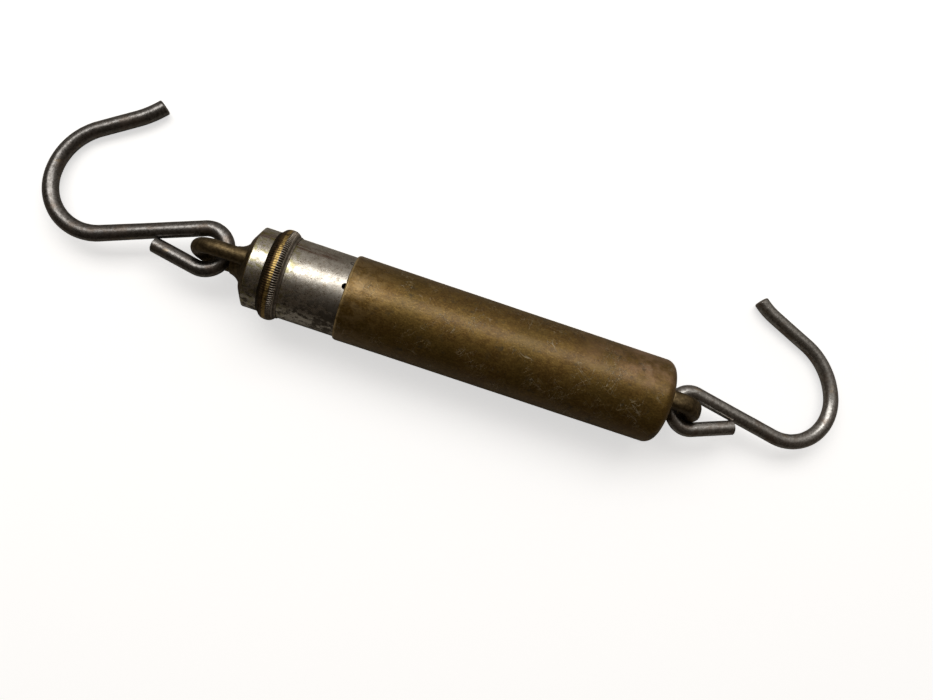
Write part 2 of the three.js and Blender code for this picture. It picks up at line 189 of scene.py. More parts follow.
def lathe_into(bm, outline, segments, shape=None):
    """Turns a closed outline of (x, r) about the tube's axis. shape(x, r, angle) may move a point."""
    rings = []
    for x, r in outline:
        if r < 1e-7:
            rings.append([bm.verts.new((x, AXIS_Y, AXIS_Z))])
            continue
        ring = []
        for k in range(segments):
            angle = 2 * math.pi * k / segments
            radius = shape(x, r, angle) if shape else r
            ring.append(
                bm.verts.new((x, AXIS_Y + radius * math.sin(angle), AXIS_Z + radius * math.cos(angle)))
            )
        rings.append(ring)
    for i, ring in enumerate(rings):
        after = rings[(i + 1) % len(rings)]
        if len(ring) == 1 and len(after) == 1:
            continue
        for k in range(segments):
            n = (k + 1) % segments
            if len(ring) == 1:
                bm.faces.new((ring[0], after[k], after[n]))
            elif len(after) == 1:
                bm.faces.new((ring[k], after[0], ring[n]))
            else:
                bm.faces.new((ring[k], after[k], after[n], ring[n]))


def lathe(name, outline, segments=160, shape=None, crease=38):
    bm = bmesh.new()
    lathe_into(bm, outline, segments, shape)
    return finish_mesh(name, bm, crease)


def squared(value, power):
    """A sine or cosine pushed outward: 2 leaves a circle, more gives a rounded square."""
    return math.copysign(abs(value) ** (2 / power), value)


def sweep_into(bm, stations, sides, power=2.0):
    """Skins sections along a path. A station is (centre, side, up, half width, half height)."""
    rings = []
    for centre, side, up, width, height in stations:
        ring = []
        for k in range(sides):
            angle = 2 * math.pi * k / sides
            out = side * (width * squared(math.cos(angle), power))
            ring.append(bm.verts.new(centre + out + up * (height * squared(math.sin(angle), power))))
        rings.append(ring)
    for ring, after in zip(rings, rings[1:]):
        for k in range(sides):
            n = (k + 1) % sides
            bm.faces.new((ring[k], ring[n], after[n], after[k]))
    for ring in (rings[0], rings[-1]):
        middle = bm.verts.new(sum((v.co for v in ring), Vector()) / sides)
        for k in range(sides):
            bm.faces.new((ring[k], ring[(k + 1) % sides], middle))


def bent_path(x, y, heading, bends, spacing):
    """(point, heading) along straight lines and arcs in the XY plane. Angles in radians."""
    result = [(Vector((x, y, 0)), heading)]
    for length, turn in bends:
        steps = max(2, round(length / spacing))
        for i in range(1, steps + 1):
            step = length * i / steps
            swept = heading + turn * i / steps
            if turn == 0:
                point = Vector((x + step * math.cos(heading), y + step * math.sin(heading), 0))
            else:
                radius = length / turn
                point = Vector(
                    (
                        x + radius * (math.sin(swept) - math.sin(heading)),
                        y - radius * (math.cos(swept) - math.cos(heading)),
                        0,
                    )
                )
            result.append((point, swept))
        x, y = result[-1][0].x, result[-1][0].y
        heading += turn
    return result


# ---------- node helpers ----------
class Surface:
    """One procedural material. Its textures are laid out in millimetres of the frame."""

    def __init__(self, name):
        self.material = bpy.data.materials.new(name)
        self.material.use_nodes = True
        self.tree = self.material.node_tree
        self.tree.nodes.clear()
        output = self.tree.nodes.new("ShaderNodeOutputMaterial")
        self.shader = self.tree.nodes.new("ShaderNodeBsdfPrincipled")
        self.tree.links.new(self.shader.outputs["BSDF"], output.inputs["Surface"])
        coords = self.tree.nodes.new("ShaderNodeTexCoord")
        self.place = self.vector("MULTIPLY", coords.outputs["Object"], (1000, 1000, 1000))

    def put(self, socket, value):
        if isinstance(value, bpy.types.NodeSocket):
            self.tree.links.new(value, socket)
        elif isinstance(value, tuple) and len(value) == 3 and socket.type == "RGBA":
            socket.default_value = (*value, 1)
        else:
            socket.default_value = value

    def vector(self, operation, a, b=(0, 0, 0)):
        node = self.tree.nodes.new("ShaderNodeVectorMath")
        node.operation = operation
        self.put(node.inputs[0], a)
        self.put(node.inputs[1], b)
        return node.outputs["Value" if operation == "LENGTH" else "Vector"]

    def math(self, operation, a, b=0.0, c=0.0):
        node = self.tree.nodes.new("ShaderNodeMath")
        node.operation = operation
        for socket, value in zip(node.inputs, (a, b, c)):
            self.put(socket, value)
        return node.outputs[0]

    def split(self, vector):
        node = self.tree.nodes.new("ShaderNodeSeparateXYZ")
        self.put(node.inputs[0], vector)
        return node.outputs

    def turned(self, degrees, vector=None):
        node = self.tree.nodes.new("ShaderNodeMapping")
        self.put(node.inputs["Vector"], vector or self.place)
        node.inputs["Rotation"].default_value = [math.radians(d) for d in degrees]
        return node.outputs[0]

    def noise(self, scale, detail=4.0, roughness=0.55, stretch=(1, 1, 1), vector=None, shift=0.0):
        place = self.vector("MULTIPLY", vector or self.place, stretch)
        if shift:
            place = self.vector("ADD", place, (shift, shift, shift))
        node = self.tree.nodes.new("ShaderNodeTexNoise")
        self.put(node.inputs["Vector"], place)
        self.put(node.inputs["Scale"], scale)
        self.put(node.inputs["Detail"], detail)
        self.put(node.inputs["Roughness"], roughness)
        return node.outputs["Fac"]

    def band(self, value, low, high):
        """0 below low, 1 above high, smooth between; high under low turns it round."""
        node = self.tree.nodes.new("ShaderNodeMapRange")
        node.interpolation_type = "SMOOTHSTEP"
        self.put(node.inputs["Value"], value)
        self.put(node.inputs["From Min"], min(low, high))
        self.put(node.inputs["From Max"], max(low, high))
        self.put(node.inputs["To Min"], 0.0 if low < high else 1.0)
        self.put(node.inputs["To Max"], 1.0 if low < high else 0.0)
        return node.outputs["Result"]

    def scale(self, value, low, high):
        node = self.tree.nodes.new("ShaderNodeMapRange")
        self.put(node.inputs["Value"], value)
        self.put(node.inputs["To Min"], low)
        self.put(node.inputs["To Max"], high)
        return node.outputs["Result"]

    def mix(self, factor, a, b):
        node = self.tree.nodes.new("ShaderNodeMix")
        node.data_type = "RGBA"
        self.put(node.inputs[0], factor)
        self.put(node.inputs[6], a)
        self.put(node.inputs[7], b)
        return node.outputs[2]

    def cover(self, color, mask, strength, tint):
        """Lays tint over color where mask is 1, as strongly as strength."""
        return self.mix(self.math("MULTIPLY", mask, strength), color, tint)

    def lines(self, scale, stretch, degrees, width, shift=0.0):
        """Thin wandering lines: 1 on a line, 0 off it."""
        field = self.noise(scale, 2.0, 0.4, stretch, self.turned(degrees), shift)
        off = self.math("ABSOLUTE", self.math("SUBTRACT", field, 0.5))
        return self.band(off, width, 0.0)

    def bump(self, height, distance, strength=1.0, normal=None):
        node = self.tree.nodes.new("ShaderNodeBump")
        self.put(node.inputs["Height"], height)
        self.put(node.inputs["Distance"], distance * MM)
        self.put(node.inputs["Strength"], strength)
        if normal:
            self.put(node.inputs["Normal"], normal)
        return node.outputs["Normal"]

    def attribute(self, name):
        node = self.tree.nodes.new("ShaderNodeAttribute")
        node.attribute_name = name
        return node.outputs["Fac"]

    def pointiness(self):
        return self.tree.nodes.new("ShaderNodeNewGeometry").outputs["Pointiness"]

    def coat(self, weight, roughness):
        self.put(self.shader.inputs["Coat Weight"], weight)
        self.put(self.shader.inputs["Coat Roughness"], roughness)

    def finish(self, color, roughness, metallic, normal):
        for name, value in (
            ("Base Color", color),
            ("Roughness", roughness),
            ("Metallic", metallic),
            ("Normal", normal),
        ):
            self.put(self.shader.inputs[name], value)
        return self.material


AXIS_MM = (0.0, AXIS_Y / MM, AXIS_Z / MM)


def tube_places(surface):
    """Distance along the tube, height towards +Y and distance from the axis, in millimetres."""
    place = surface.vector("SUBTRACT", surface.place, AXIS_MM)
    parts = surface.split(place)
    flat = surface.vector("MULTIPLY", place, (0, 1, 1))
    return parts[0], parts[1], surface.vector("LENGTH", flat)


# ---------- materials ----------
def aged_brass():
    s = Surface("aged_brass")
    x, side, _ = tube_places(s)
    broad = s.noise(0.07, 3)
    mottle = s.noise(0.45, 6, 0.62, (0.7, 1, 1))
    color = s.mix(s.band(mottle, 0.36, 0.66), (0.145, 0.078, 0.012), (0.215, 0.130, 0.026))
    color = s.cover(color, s.band(broad, 0.45, 0.62), 0.5, (0.155, 0.098, 0.016))
    grain = s.noise(2.0, 7, 0.8, (0.7, 1, 1), None, 9.0)
    color = s.cover(color, s.band(grain, 0.50, 0.64), 0.40, (0.42, 0.265, 0.075))
    color = s.cover(color, s.band(grain, 0.50, 0.36), 0.45, (0.050, 0.028, 0.006))
    # reddish metal with a painted highlight towards the lower end, on the +Y side
    reddish_highlight = s.band(x, END_X / MM - 38, END_X / MM - 4)
    reddish_highlight = s.math("MULTIPLY", reddish_highlight, s.band(s.noise(0.2, 5), 0.30, 0.70))
    reddish_highlight = s.math("MULTIPLY", reddish_highlight, s.band(side, 1, 8))
    color = s.cover(color, reddish_highlight, 0.85, (0.47, 0.29, 0.17))
    # brighter metal where the mouth is handled
    handled = s.math("MULTIPLY", s.band(x, MOUTH_X / MM + 16, MOUTH_X / MM), s.band(mottle, 0.4, 0.6))
    color = s.cover(color, handled, 0.5, (0.34, 0.23, 0.11))
    # dark green-grey stains
    stain = s.band(s.noise(0.22, 6, 0.68, shift=31.0), 0.57, 0.68)
    stain = s.math("MULTIPLY", stain, s.band(mottle, 0.34, 0.56))
    color = s.cover(color, stain, 0.6, (0.045, 0.040, 0.026))
    specks = s.band(s.noise(1.6, 4, 0.6, shift=7.0), 0.64, 0.74)
    color = s.cover(color, specks, 0.6, (0.035, 0.028, 0.016))
    # painted highlight along the mouth's edge and the rolled end's rim
    mouth_highlight = s.band(x, MOUTH_X / MM + 0.8, MOUTH_X / MM + 0.3)
    end_highlight = s.band(x, END_X / MM - 0.5, END_X / MM - 0.1)
    rim_highlight = s.math("MULTIPLY", s.math("MAXIMUM", mouth_highlight, end_highlight), s.band(mottle, 0.32, 0.5))
    color = s.cover(color, rim_highlight, 0.8, (0.62, 0.45, 0.20))
    # light scratches, mostly round the tube and a few across
    fine = s.lines(0.9, (1.0, 0.12, 0.12), (0, 0, 9), 0.008)
    cross = s.lines(0.35, (0.16, 1, 1), (0, 0, 34), 0.007, 12.0)
    slant = s.lines(0.4, (0.2, 1, 1), (0, 0, -38), 0.006, 40.0)
    scratch = s.math("MAXIMUM", s.math("MAXIMUM", fine, cross), slant)
    scratch = s.math("MULTIPLY", scratch, s.band(s.noise(0.16, 2, shift=3.0), 0.48, 0.62))
    color = s.cover(color, scratch, 0.7, (0.52, 0.44, 0.30))
    roughness = s.scale(s.noise(1.1, 5, 0.6), 0.36, 0.64)
    roughness = s.math("ADD", roughness, s.math("MULTIPLY", stain, 0.12))
    rubbed = s.band(x, MOUTH_X / MM + 26, MOUTH_X / MM + 2)
    roughness = s.math("SUBTRACT", roughness, s.math("MULTIPLY", rubbed, 0.12))
    pits = s.noise(1.8, 6, 0.7)
    normal = s.bump(s.noise(0.3, 3), 0.08, 0.3)
    normal = s.bump(pits, 0.10, 0.8, normal)
    normal = s.bump(scratch, -0.05, 0.8, normal)
    s.coat(0.36, 0.26)
    return s.finish(color, roughness, 0.78, normal)


def cast_brass():
    s = Surface("cast_brass")
    mottle = s.noise(0.8, 6, 0.65)
    color = s.mix(s.band(mottle, 0.38, 0.64), (0.085, 0.060, 0.028), (0.185, 0.135, 0.068))
    # rubbed metal and a painted highlight: lighter on the sharp outer edges
    wear_and_highlight = s.band(s.pointiness(), 0.505, 0.56)
    wear_and_highlight = s.math("MULTIPLY", wear_and_highlight, s.band(s.noise(0.35, 4, shift=5.0), 0.38, 0.6))
    color = s.cover(color, wear_and_highlight, 0.7, (0.36, 0.245, 0.11))
    # grime and painted shade: darker in the hollows
    grime_and_shade = s.band(s.pointiness(), 0.495, 0.45)
    color = s.cover(color, grime_and_shade, 0.8, (0.03, 0.025, 0.016))
    roughness = s.scale(s.noise(1.7, 5, 0.6), 0.30, 0.60)
    normal = s.bump(s.noise(0.5, 3), 0.12, 0.5)
    normal = s.bump(s.noise(2.6, 5, 0.65, shift=2.0), 0.05, 0.6, normal)
    return s.finish(color, roughness, 0.93, normal)


def worn_ring():
    s = Surface("worn_ring")
    x, _, _ = tube_places(s)
    grime_and_shade = s.attribute("grime_and_shade")
    mottle = s.noise(0.9, 5, 0.6)
    bronze = s.mix(s.band(mottle, 0.35, 0.65), (0.075, 0.045, 0.020), (0.17, 0.105, 0.045))
    silver = s.mix(s.band(mottle, 0.35, 0.65), (0.26, 0.215, 0.165), (0.46, 0.41, 0.35))
    # plating is left only on the flank towards the tube, and the crest is rubbed bright, with a painted
    # highlight along it
    plated = s.band(x, BEAD_X / MM + 0.25, BEAD_X / MM + 0.6)
    color = s.mix(plated, bronze, silver)
    crest = s.math("MULTIPLY", s.band(x, BEAD_X / MM - 0.85, BEAD_X / MM - 0.4), s.band(plated, 0.6, 0.0))
    crest = s.math("MULTIPLY", crest, s.band(mottle, 0.36, 0.5))
    color = s.mix(crest, color, (0.62, 0.43, 0.15))
    # painted shade with some grime, from the ring's attribute
    color = s.cover(color, grime_and_shade, 0.97, (0.016, 0.012, 0.007))
    roughness = s.scale(s.noise(2.2, 4), 0.24, 0.40)
    roughness = s.math("ADD", roughness, s.math("MULTIPLY", grime_and_shade, 0.35))
    normal = s.bump(s.noise(2.5, 5, 0.6), 0.03, 0.5)
    return s.finish(color, roughness, 0.95, normal)


def worn_nickel():
    s = Surface("worn_nickel")
    x, side, _ = tube_places(s)
    mottle = s.noise(0.55, 7, 0.68)
    color = s.mix(s.band(mottle, 0.30, 0.60), (0.50, 0.46, 0.40), (0.68, 0.65, 0.59))
    speckle = s.band(s.noise(2.6, 5, 0.6, shift=2.0), 0.52, 0.64)
    speckle = s.math("MULTIPLY", speckle, s.band(mottle, 0.66, 0.42))
    color = s.cover(color, speckle, 0.75, (0.17, 0.13, 0.085))
    # painted reflection: copper-red streaks in a narrow band along one side, on the part nearest the ring
    reflection_streaks = s.noise(1.0, 3, 0.5, (0.06, 1.3, 1.3), None, 15.0)
    painted_reflection = s.math("MULTIPLY", s.band(side, 8.2, 9.2), s.band(side, 10.6, 9.6))
    painted_reflection = s.math("MULTIPLY", painted_reflection, s.band(reflection_streaks, 0.36, 0.50))
    painted_reflection = s.math("MULTIPLY", painted_reflection, s.band(x, RING_RIGHT_X / MM + 16, RING_RIGHT_X / MM + 8))
    color = s.cover(color, painted_reflection, 0.95, (0.20, 0.075, 0.045))
    # brass showing through in spots
    bare = s.band(s.noise(0.9, 5, 0.6, shift=21.0), 0.60, 0.70)
    color = s.cover(color, bare, 0.55, (0.36, 0.27, 0.15))
    # yellow-green bloom near the ring
    near_ring = s.band(x, RING_RIGHT_X / MM + 4.5, RING_RIGHT_X / MM)
    bloom = s.math("MULTIPLY", near_ring, s.band(s.noise(0.7, 5, 0.6, shift=13.0), 0.47, 0.6))
    color = s.cover(color, bloom, 0.7, (0.40, 0.37, 0.14))
    # dark smudges, heavier towards the mouth and on the -Y side
    near_mouth = s.band(x, MOUTH_X / MM - 9, MOUTH_X / MM)
    dark_side = s.band(side, 4, -7)
    smudge = s.noise(0.55, 6, 0.68, (0.8, 1.0, 1.0), None, 4.0)
    smudge = s.band(s.math("ADD", smudge, s.math("MULTIPLY", near_mouth, 0.11)), 0.48, 0.58)
    smudge = s.math("MULTIPLY", smudge, s.math("ADD", 0.2, s.math("MULTIPLY", dark_side, 0.8)))
    exposed = s.band(x, MOUTH_X / MM + 2.5, MOUTH_X / MM + 0.5)
    smudge = s.math("MULTIPLY", smudge, s.math("ADD", 0.2, s.math("MULTIPLY", exposed, 0.8)))
    color = s.cover(color, smudge, 0.85, (0.085, 0.066, 0.046))
    roughness = s.scale(s.noise(1.3, 6, 0.6), 0.16, 0.36)
    roughness = s.math("ADD", roughness, s.math("MULTIPLY", smudge, 0.25))
    fine = s.lines(1.4, (1.0, 0.08, 0.08), (0, 0, 3), 0.012, 6.0)
    normal = s.bump(s.noise(0.35, 3), 0.05, 0.2)
    normal = s.bump(s.noise(3.5, 6, 0.7), 0.018, 0.5, normal)
    normal = s.bump(fine, -0.012, 0.4, normal)
    return s.finish(color, roughness, 0.98, normal)


def oxidised_steel(name, dark, light, rusty):
    """Old wire; rusty is how strongly the brown patches cover it."""
    s = Surface(name)
    mottle = s.noise(1.2, 7, 0.7)
    color = s.mix(s.band(mottle, 0.30, 0.70), dark, light)
    rust = s.band(s.noise(0.16, 5, 0.65, shift=17.0), 0.48, 0.64)
    color = s.mix(s.math("MULTIPLY", rust, rusty), color, (0.20, 0.130, 0.080))
    tan = s.band(s.noise(0.5, 3, 0.5, (0.25, 1, 1), shift=27.0), 0.64, 0.72)
    color = s.cover(color, tan, 0.6, (0.42, 0.33, 0.22))
    pits = s.band(s.noise(2.4, 5, 0.6, shift=8.0), 0.58, 0.7)
    color = s.cover(color, pits, 0.55, (0.045, 0.035, 0.028))
    roughness = s.scale(s.noise(1.5, 6, 0.65), 0.20, 0.38)
    roughness = s.math("ADD", roughness, s.math("MULTIPLY", rust, 0.10))
    normal = s.bump(s.noise(0.4, 3), 0.08, 0.45)
    normal = s.bump(s.noise(3.0, 5, 0.65, shift=1.0), 0.018, 0.5, normal)
    return s.finish(color, roughness, 0.97, normal)


def plain_metal(name, dark, light, rough_low, rough_high):
    """Clean machined metal for the pieces inside the tube."""
    s = Surface(name)
    mottle = s.noise(0.7, 5, 0.6)
    color = s.mix(s.band(mottle, 0.35, 0.65), dark, light)
    cuts = s.noise(6.0, 2, 0.5, (1.0, 0.03, 0.03))
    roughness = s.scale(s.noise(2.0, 4), rough_low, rough_high)
    normal = s.bump(cuts, 0.01, 0.5)
    return s.finish(color, roughness, 1.0, normal)


def engraving():
    s = Surface("engraving")
    mottle = s.noise(2.0, 4)
    color = s.mix(s.band(mottle, 0.3, 0.7), (0.012, 0.011, 0.010), (0.035, 0.030, 0.026))
    normal = s.bump(s.noise(6.0, 3), 0.01, 0.4)
    return s.finish(color, s.scale(mottle, 0.5, 0.75), 0.1, normal)


AGED_BRASS = aged_brass()
CAST_BRASS = cast_brass()
WORN_RING = worn_ring()
WORN_NICKEL = worn_nickel()
DULL_STEEL = oxidised_steel("dull_steel", (0.12, 0.112, 0.105), (0.32, 0.31, 0.30), 0.35)
BROWNED_STEEL = oxidised_steel("browned_steel", (0.26, 0.25, 0.235), (0.56, 0.55, 0.53), 0.6)
TURNED_BRASS = plain_metal("turned_brass", (0.50, 0.36, 0.15), (0.66, 0.50, 0.24), 0.22, 0.4)
OILED_STEEL = plain_metal("oiled_steel", (0.20, 0.20, 0.21), (0.38, 0.38, 0.39), 0.2, 0.38)
ENGRAVING = engraving()


def dress(obj, body, slot, material, *nodes):
    """Gives a piece its finish, its body and the CAD nodes it stands for."""
    obj.data.materials.clear()
    obj.data.materials.append(material)
    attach(obj, body)
    if nodes:
        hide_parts(*nodes)
    return obj


# ---------- outer tube ----------
def dents(x, r, angle):
    """Hand-worn drawn tube: a few hundredths of a millimetre out of true."""
    spot = Vector((x / MM * 0.06, math.sin(angle) * 1.1, math.cos(angle) * 1.1))
    return r + 0.035 * MM * noise.noise(spot) + 0.012 * MM * noise.noise(spot * 4.0)


def outer_tube():
    flare = 0.10 * MM
    length = END_X - END_ROUND_R - MOUTH_X
    body = []
    for t in along(0.0, 1.0, 70):
        x = MOUTH_X + MOUTH_ROUND + (length - MOUTH_ROUND) * t
        body.append((x, OUTER_R + flare * math.exp(-(x - MOUTH_X - MOUTH_ROUND) / (7 * MM))))
    edge = body[0][1]
    front = OUTER_BORE_R + 0.08 * MM
    mouth = [(MOUTH_X + 0.05 * MM, OUTER_BORE_R)]
    for angle in along(0.0, math.pi / 2, 10)[:-1]:
        x = MOUTH_X + MOUTH_ROUND * (1 - math.cos(angle))
        mouth.append((x, front + (edge - front) * math.sin(angle)))
    bend = []
    for angle in along(math.pi / 2, 0.0, 14)[1:]:
        x = END_X - END_ROUND_R + END_ROUND_R * math.cos(angle)
        bend.append((x, OUTER_R - END_ROUND_R + END_ROUND_R * math.sin(angle)))
    lip = rounded([
        (END_X, END_HOLE_R, 0.2 * MM),
        (END_X - END_WALL, END_HOLE_R, 0.1 * MM),
        (END_X - END_WALL, OUTER_BORE_R, 2.2 * MM),
        (MOUTH_X + 0.05 * MM, OUTER_BORE_R, 0),
    ])[:-1]
    obj = lathe("outer_tube_skin", mouth + body + bend + lip, 200, dents)
    return dress(obj, "outer_tube_body", "aged_brass", AGED_BRASS, "outer_tube")


# ---------- inner tube ----------
def on_tube(x, radius, angle):
    return Vector((x, AXIS_Y + radius * math.sin(angle), AXIS_Z + radius * math.cos(angle)))


def slot_cutter():
    """A round-ended bar through the tube's wall, at the roll angle."""
    bm = bmesh.new()
    half = SLOT_WIDTH / 2
    outline = []
    for angle in along(math.pi / 2, 3 * math.pi / 2, 16):
        outline.append((SLOT_START_X + half + half * math.cos(angle), half * math.sin(angle)))
    outline += [(SLOT_END_X, -half), (SLOT_END_X, half)]
    outward = Vector((0, math.sin(ROLL), math.cos(ROLL)))
    across = Vector((0, math.cos(ROLL), -math.sin(ROLL)))
    centre = Vector((0, AXIS_Y, AXIS_Z))
    layers = []
    for height in (INNER_R - 3 * MM, INNER_R + 3 * MM):
        base = centre + outward * height
        layers.append([bm.verts.new(base + Vector((x, 0, 0)) + across * w) for x, w in outline])
    bm.faces.new(layers[0])
    bm.faces.new(layers[1])
    count = len(outline)
    for k in range(count):
        n = (k + 1) % count
        bm.faces.new((layers[0][k], layers[0][n], layers[1][n], layers[1][k]))
    return finish_mesh("slot_cutter", bm)


def inner_tube():
    tube = rounded([
        (INNER_TOP_X, INNER_BORE_R, 0),
        (INNER_TOP_X, INNER_R, 0.1 * MM),
        (INNER_END_X, INNER_R, 0.1 * MM),
        (INNER_END_X, INNER_BORE_R, 0),
    ])
    obj = lathe("inner_tube_skin", tube, 200)
    cutter = slot_cutter()
    cut = obj.modifiers.new("slot", "BOOLEAN")
    cut.operation = "DIFFERENCE"
    cut.object = cutter
    cut.solver = "EXACT"
    apply_modifiers(obj, 25)
    bpy.data.objects.remove(cutter)
    return dress(obj, "inner_tube_body", "nickel_plate", WORN_NICKEL, "inner_tube")


CAPACITY = 12  # one figure for each main division
INK = 0.03 * MM
LINE_REACH = (5.2, 2.4, 3.6, 2.4)  # whole, quarter, half and three-quarter lines, in millimetres
WHOLE_LINE_HALF = 0.11 * MM
PART_LINE_HALF = 0.07 * MM
FIGURE_SIZE = 3.0 * MM
FIGURES_FROM_SLOT = 6.6 * MM


def graduations():
    """Cut lines beside the slot, one for each quarter division, covered while nothing hangs."""
    bm = bmesh.new()
    quarters = CAPACITY * 4
    first_angle = ROLL + SLOT_WIDTH / 2 / INNER_R + math.radians(2)
    for i in range(quarters + 1):
        x = MOUTH_X + TRAVEL * i / quarters
        half = WHOLE_LINE_HALF if i % 4 == 0 else PART_LINE_HALF
        sweep_angle = LINE_REACH[i % 4] * MM / INNER_R
        rows = []
        for angle in along(first_angle, first_angle + sweep_angle, 8):
            rows.append([
                bm.verts.new(on_tube(x + dx, INNER_R + dr, angle))
                for dx, dr in ((-half, -INK), (half, -INK), (half, INK), (-half, INK))
            ])
        for a, b in zip(rows, rows[1:]):
            for k in range(4):
                bm.faces.new((a[k], a[(k + 1) % 4], b[(k + 1) % 4], b[k]))
        bm.faces.new(rows[0])
        bm.faces.new(rows[-1])
    obj = finish_mesh("graduation_lines", bm)
    return dress(obj, "inner_tube_body", "nickel_plate", ENGRAVING)


def figures():
    """Plain numerals at the main divisions, wrapped round the tube."""
    angle_zero = ROLL + (SLOT_WIDTH / 2 + FIGURES_FROM_SLOT) / INNER_R
    joined = bmesh.new()
    for value in range(CAPACITY + 1):
        curve = bpy.data.curves.new("figure", "FONT")
        curve.body = str(value)
        curve.size = FIGURE_SIZE
        curve.extrude = INK
        curve.resolution_u = 3
        curve.align_y = "CENTER"
        text = bpy.data.objects.new("figure", curve)
        bpy.context.scene.collection.objects.link(text)
        graph = bpy.context.evaluated_depsgraph_get()
        mesh = bpy.data.meshes.new_from_object(text.evaluated_get(graph))
        x = MOUTH_X + TRAVEL * value / CAPACITY
        for vertex in mesh.vertices:
            u, v, w = vertex.co
            vertex.co = on_tube(x - v, INNER_R + w, angle_zero + u / INNER_R)
        joined.from_mesh(mesh)
        bpy.data.meshes.remove(mesh)
        bpy.data.objects.remove(text)
        bpy.data.curves.remove(curve)
    obj = finish_mesh("graduation_figures", joined)
    return dress(obj, "inner_tube_body", "nickel_plate", ENGRAVING)


# ---------- head ----------
def cap_band():
    band_end = RING_LEFT_X + 0.25 * MM
    outline = rounded([
        (BAND_LEFT_X, BAND_R - BAND_WALL, 0),
        (BAND_LEFT_X, BAND_R, 0.14 * MM),
        (band_end, BAND_R, 0.08 * MM),
        (band_end, BAND_R - BAND_WALL, 0),
    ])
    stations = []
    for (x, r), (next_x, _) in zip(outline, outline[1:]):
        stations.append((x, r))
        if next_x - x > 1 * MM:
            stations += [(x + (next_x - x) * t, r) for t in along(0.0, 1.0, 10)[1:-1]]
    stations.append(outline[-1])
    obj = lathe("cap_band_skin", stations, 200, dents)
    return dress(obj, "head", "nickel_plate", WORN_NICKEL, "cap_band")


TEETH = 116


def plateau(value, middle, half):
    """1 across most of the band about middle, falling quickly to 0 at its ends."""
    return min(1.0, max(0.0, 1 - abs(value - middle) / half) * 3.0)


def knurl_depth(x):
    """How deep the knurl is cut at x: worn away on the crest, deepest on the tube's side."""
    across = (x - BEAD_X) / BEAD_HALF
    left = 0.20 * plateau(across, -0.76, 0.24)
    crest = 0.06 * plateau(across, -0.15, 0.45)
    right = 0.42 * plateau(across, 0.52, 0.30)
    return max(left, crest, right) * MM


def tooth(angle):
    """0 on a tooth's top, 1 at the bottom of the groove."""
    wave = abs((angle * TEETH / (2 * math.pi)) % 1.0 - 0.5) * 2
    return min(1.0, max(0.0, (wave - 0.35) / 0.4))


def zero_ring():
    foot = RING_R - 1.2 * MM
    lip = INNER_R + 0.28 * MM
    left = RING_LEFT_X + 0.4 * MM
    bore = SPIGOT_R + 0.15 * MM
    skirt = INNER_R + 0.15 * MM
    skirt_x = RING_RIGHT_X - 2.0 * MM
    thread_x = RING_LEFT_X + 1.5 * MM
    bead = []
    for t in along(-1.0, 1.0, 56):
        base = foot if t < 0 else lip + 0.05 * MM
        bead.append((BEAD_X + BEAD_HALF * t, base + (RING_R - base) * (1 - abs(t) ** 2.5) ** 0.8))
    outline = (
        [(left, bore), (left, foot - 0.35 * MM)]
        + [(left + 0.12 * MM, foot - 0.22 * MM)]
        + bead
        + [
            (RING_RIGHT_X - 0.12 * MM, lip),
            (RING_RIGHT_X, lip - 0.08 * MM),
            (RING_RIGHT_X, skirt),
            (skirt_x, skirt),
            (skirt_x, THREAD_R),
            (thread_x, THREAD_R),
            (thread_x, bore),
        ]
    )
    outside = lip - 0.1 * MM

    def cut(x, r, angle):
        if r < outside:
            return r
        return r - knurl_depth(x) * tooth(angle)

    obj = lathe("zero_ring_knurled", outline, TEETH * 8, cut, crease=75)
    # painted shade with some grime: darkest in the knurl grooves, at the ring's foot beside the band, at
    # the bead's heel and on the inside faces
    grime_and_shade = obj.data.attributes.new("grime_and_shade", "FLOAT", "POINT")
    for vertex in obj.data.vertices:
        x, y, z = vertex.co
        angle = math.atan2(y - AXIS_Y, z - AXIS_Z)
        radius = math.hypot(y - AXIS_Y, z - AXIS_Z)
        groove = tooth(angle) * min(1.0, knurl_depth(x) / (0.16 * MM))
        root = 0.85 * (1 - min(1.0, max(0.0, x - RING_LEFT_X - 0.9 * MM) / (1.1 * MM)))
        heel = 0.7 * (1 - min(1.0, abs(x - BEAD_X - BEAD_HALF) / (0.25 * MM)))
        dirt_and_shade = max(groove, root, heel)
        if radius < outside - 0.2 * MM:
            dirt_and_shade = 0.4
        grime_and_shade.data[vertex.index].value = dirt_and_shade
    return dress(obj, "zero_ring_body", "worn_brass", WORN_RING, "zero_ring")


def arch_stations(crown_x, away, radius, leg, roll, half_across):
    """Stations of a bar bent to an arch that stands at the roll angle, its crown at crown_x."""
    centre_x = crown_x - away * (radius + EYE_BAR_R)
    up = Vector((0, math.sin(roll), math.cos(roll)))
    across = Vector((0, math.cos(roll), -math.sin(roll)))
    out = Vector((away, 0, 0))
    centre = Vector((centre_x, AXIS_Y, AXIS_Z))
    stations = []
    for t in along(1.0, 0.0, 8)[:-1]:
        stations.append((centre - out * (leg * t) - up * radius, -up, across))
    for angle in along(-math.pi / 2, math.pi / 2, 48):
        ray = out * math.cos(angle) + up * math.sin(angle)
        stations.append((centre + ray * radius, ray, across))
    for t in along(0.0, 1.0, 8)[1:]:
        stations.append((centre - out * (leg * t) + up * radius, up, across))
    return [(point, ray, side, EYE_BAR_R * 0.98, half_across) for point, ray, side in stations]


CASTING_VOXEL = 0.17 * MM
CASTING_PASSES = 7


def cast_object(name, bm):
    """Fuses overlapping closed bodies into one skin with soft joins, as a casting has."""
    obj = finish_mesh(name, bm)
    remesh = obj.modifiers.new("fuse", "REMESH")
    remesh.mode = "VOXEL"
    remesh.voxel_size = CASTING_VOXEL
    soften = obj.modifiers.new("soften", "SMOOTH")
    soften.factor = 0.5
    soften.iterations = CASTING_PASSES
    apply_modifiers(obj, 180)
    return obj


